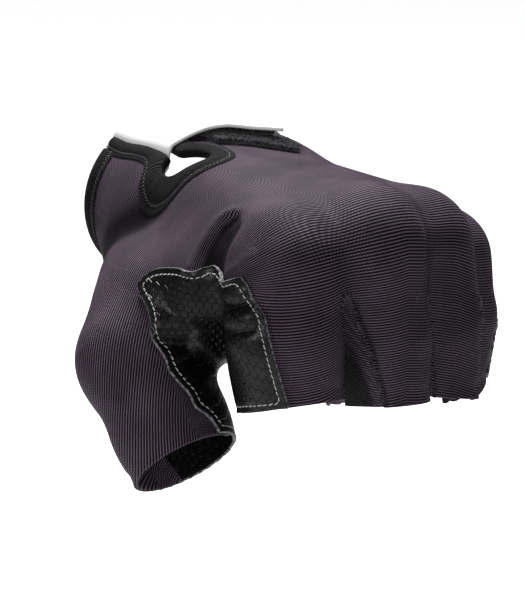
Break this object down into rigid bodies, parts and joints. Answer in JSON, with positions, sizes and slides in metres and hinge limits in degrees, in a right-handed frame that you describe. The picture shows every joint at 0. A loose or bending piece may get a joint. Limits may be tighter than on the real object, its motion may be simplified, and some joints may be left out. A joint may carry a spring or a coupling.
{
  "type": "fitness glove",
  "caption": "Half-finger training glove for the left hand on a closed fist, hollow inside, with stretch knit back, leather palm and a wrist strap.",
  "frame": {"origin": "middle of the wrist opening, in the plane of the cuff's edge", "axes": "-Y from the wrist towards the knuckles, +Z out of the back of the hand, -X towards the thumb"},
  "size_m": [0.1058, 0.1117, 0.0822],
  "materials": {
    "knit": "black ribbed stretch knit",
    "leather": "black synthetic leather, embossed with small hexagons",
    "binding": "black elastic tape",
    "strap": "plain white, smooth",
    "hook_tape": "black hook and loop tape"
  },
  "bodies": {
    "root": {"knit_shell": "knit", "fourchette_index_middle": "knit", "fourchette_middle_ring": "knit", "fourchette_ring_little": "knit", "palm_leather": "leather", "cuff_binding": "binding", "keyhole_binding": "binding", "wrist_strap": "strap", "hook_pad": "hook_tape", "loop_pad": "hook_tape"}
  },
  "joints": []
}
